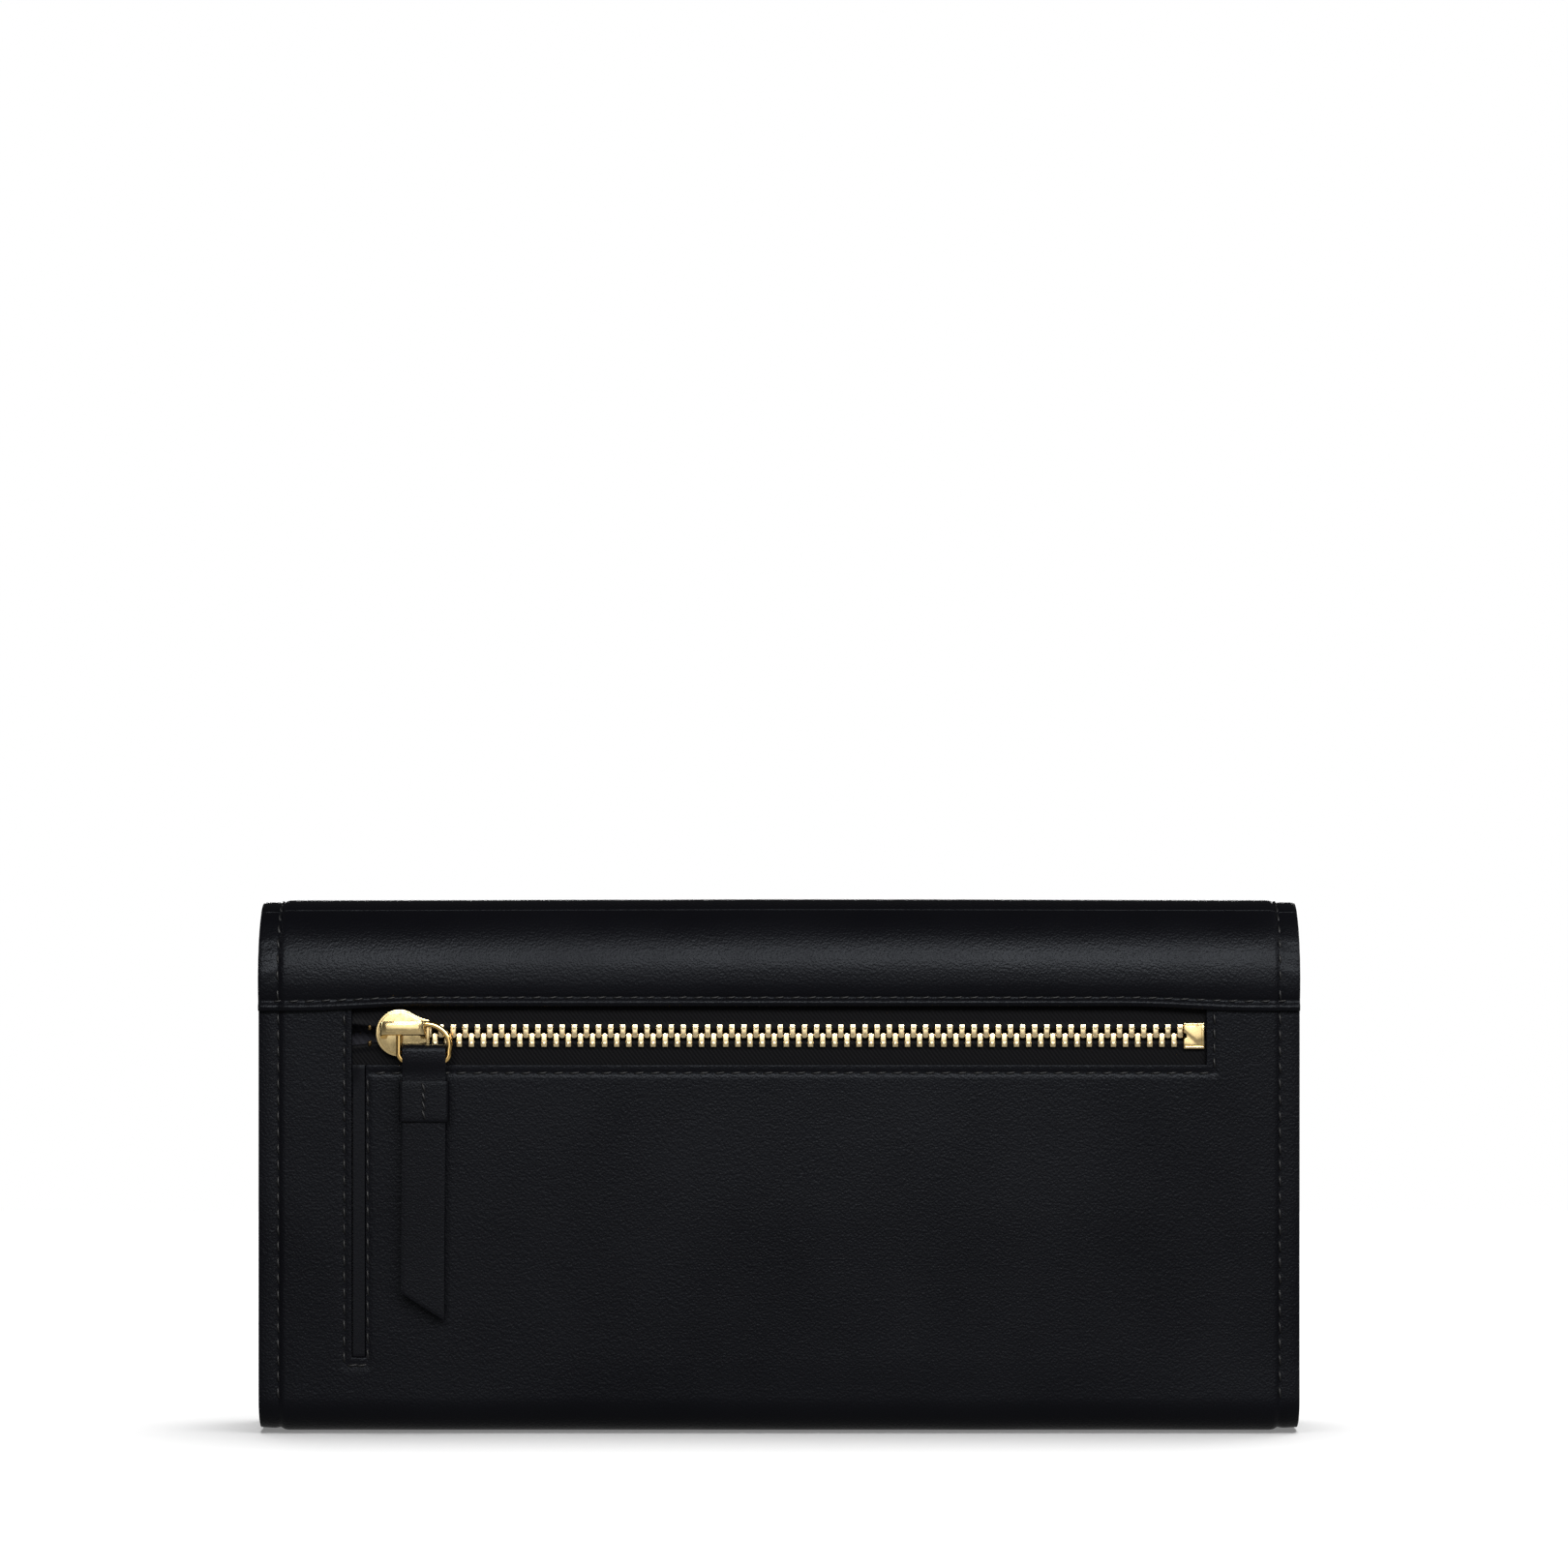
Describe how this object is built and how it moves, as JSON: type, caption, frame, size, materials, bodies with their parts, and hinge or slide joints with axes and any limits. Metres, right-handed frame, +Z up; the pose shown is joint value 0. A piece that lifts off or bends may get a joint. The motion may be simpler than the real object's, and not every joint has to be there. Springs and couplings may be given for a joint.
{
  "type": "flap-over purse",
  "caption": "Long black leather flap-over purse with a metal-toothed zip coin pocket across its back, a ring with a leather pull, and two gusseted rooms under the flap.",
  "frame": {"origin": "centre of the flat base that the purse stands on", "axes": "+X along the length, to the right when the zip side is looked at; +Z up; -Y faces out of the zip side and +Y out of the flap's front"},
  "size_m": [0.19, 0.0291, 0.097],
  "materials": {
    "outer_leather": "satin",
    "inlay_leather": "satin",
    "inner_leather": "satin",
    "lining_cloth": "matt",
    "stiffener_board": "matt",
    "zip_tape": "matt",
    "gold_plate": "polished",
    "window_film": "clear"
  },
  "bodies": {
    "root": {"back_panel": "outer_leather", "slot_inlay": "inlay_leather", "base_strip": "stiffener_board", "back_stiffener": "stiffener_board", "flap_back_leather": "outer_leather", "flap_back_lining": "lining_cloth", "zip_tape_upper": "zip_tape", "zip_tape_lower": "zip_tape", "zip_teeth_upper": "gold_plate", "zip_teeth_lower": "gold_plate", "zip_bottom_stop": "gold_plate", "zip_top_stops": "gold_plate", "coin_pocket_outer_lining": "lining_cloth", "coin_pocket_inner_lining": "lining_cloth", "coin_pocket_edges": "lining_cloth", "rear_divider": "lining_cloth", "rear_card_panel_1": "inner_leather", "rear_card_panel_2": "inner_leather", "rear_card_panel_3": "inner_leather", "rear_card_panel_4": "inner_leather", "gusset_rear_left": "inner_leather", "gusset_front_left": "inner_leather", "gusset_rear_right": "inner_leather", "gusset_front_right": "inner_leather"},
    "flap_turn_1": {"flap_turn_1_leather": "outer_leather", "flap_turn_1_lining": "lining_cloth"},
    "flap_turn_2": {"flap_turn_2_leather": "outer_leather", "flap_turn_2_lining": "lining_cloth"},
    "flap_front": {"flap_front_leather": "outer_leather", "flap_board": "stiffener_board", "flap_lining": "lining_cloth", "snap_socket": "gold_plate"},
    "centre_divider": {"divider_board": "lining_cloth", "id_window_frame": "inner_leather", "id_window_film": "window_film"},
    "front_wall": {"front_panel": "outer_leather", "front_stiffener": "stiffener_board", "front_lining": "lining_cloth", "front_card_panel_1": "inner_leather", "front_card_panel_2": "inner_leather", "snap_stud": "gold_plate", "snap_backplate": "gold_plate"},
    "slider": {"slider_body": "gold_plate", "slider_bridge": "gold_plate"},
    "ring": {"pull_ring": "gold_plate", "pull_loop": "outer_leather"},
    "strap": {"pull_strap": "outer_leather", "pull_keeper": "outer_leather"}
  },
  "joints": [
    {"name": "flap_open", "type": "hinge", "parent": "root", "child": "flap_turn_1", "pos_m": [0, -0.01126, 0.0905], "axis": [1, 0, 0], "range_deg": [0, 60]},
    {"name": "flap_bend_2", "type": "hinge", "parent": "flap_turn_1", "child": "flap_turn_2", "pos_m": [0, 0, 0.097], "axis": [1, 0, 0], "range_deg": [0, 60]},
    {"name": "flap_bend_3", "type": "hinge", "parent": "flap_turn_2", "child": "flap_front", "pos_m": [0, 0.01126, 0.0905], "axis": [1, 0, 0], "range_deg": [0, 60]},
    {"name": "divider_fan", "type": "hinge", "parent": "root", "child": "centre_divider", "pos_m": [0, 0.0056, 0], "axis": [-1, 0, 0], "range_deg": [0, 9]},
    {"name": "front_wall_fan", "type": "hinge", "parent": "root", "child": "front_wall", "pos_m": [0, 0.0056, 0], "axis": [-1, 0, 0], "range_deg": [0, 18], "deforming": ["gusset_rear_left", "gusset_front_left", "gusset_rear_right", "gusset_front_right"]},
    {"name": "zip_slide", "type": "slide", "parent": "root", "child": "slider", "axis": [1, 0, 0], "range_m": [0, 0.1372], "deforming": ["zip_teeth_upper", "zip_teeth_lower", "zip_tape_upper", "zip_tape_lower"]},
    {"name": "ring_swing", "type": "hinge", "parent": "slider", "child": "ring", "pos_m": [-0.0648, -0.0145, 0.0726], "axis": [0, -1, 0], "range_deg": [0, 85]},
    {"name": "pull_lift", "type": "hinge", "parent": "ring", "child": "strap", "pos_m": [-0.06455, -0.0153, 0.0661], "axis": [-1, 0, 0], "range_deg": [0, 100]}
  ],
  "couplings": [
    {"joint": "flap_bend_2", "follows": "flap_open", "ratio": 1},
    {"joint": "flap_bend_3", "follows": "flap_open", "ratio": 1},
    {"joint": "divider_fan", "follows": "flap_open", "ratio": 0.15},
    {"joint": "front_wall_fan", "follows": "flap_open", "ratio": 0.3}
  ]
}
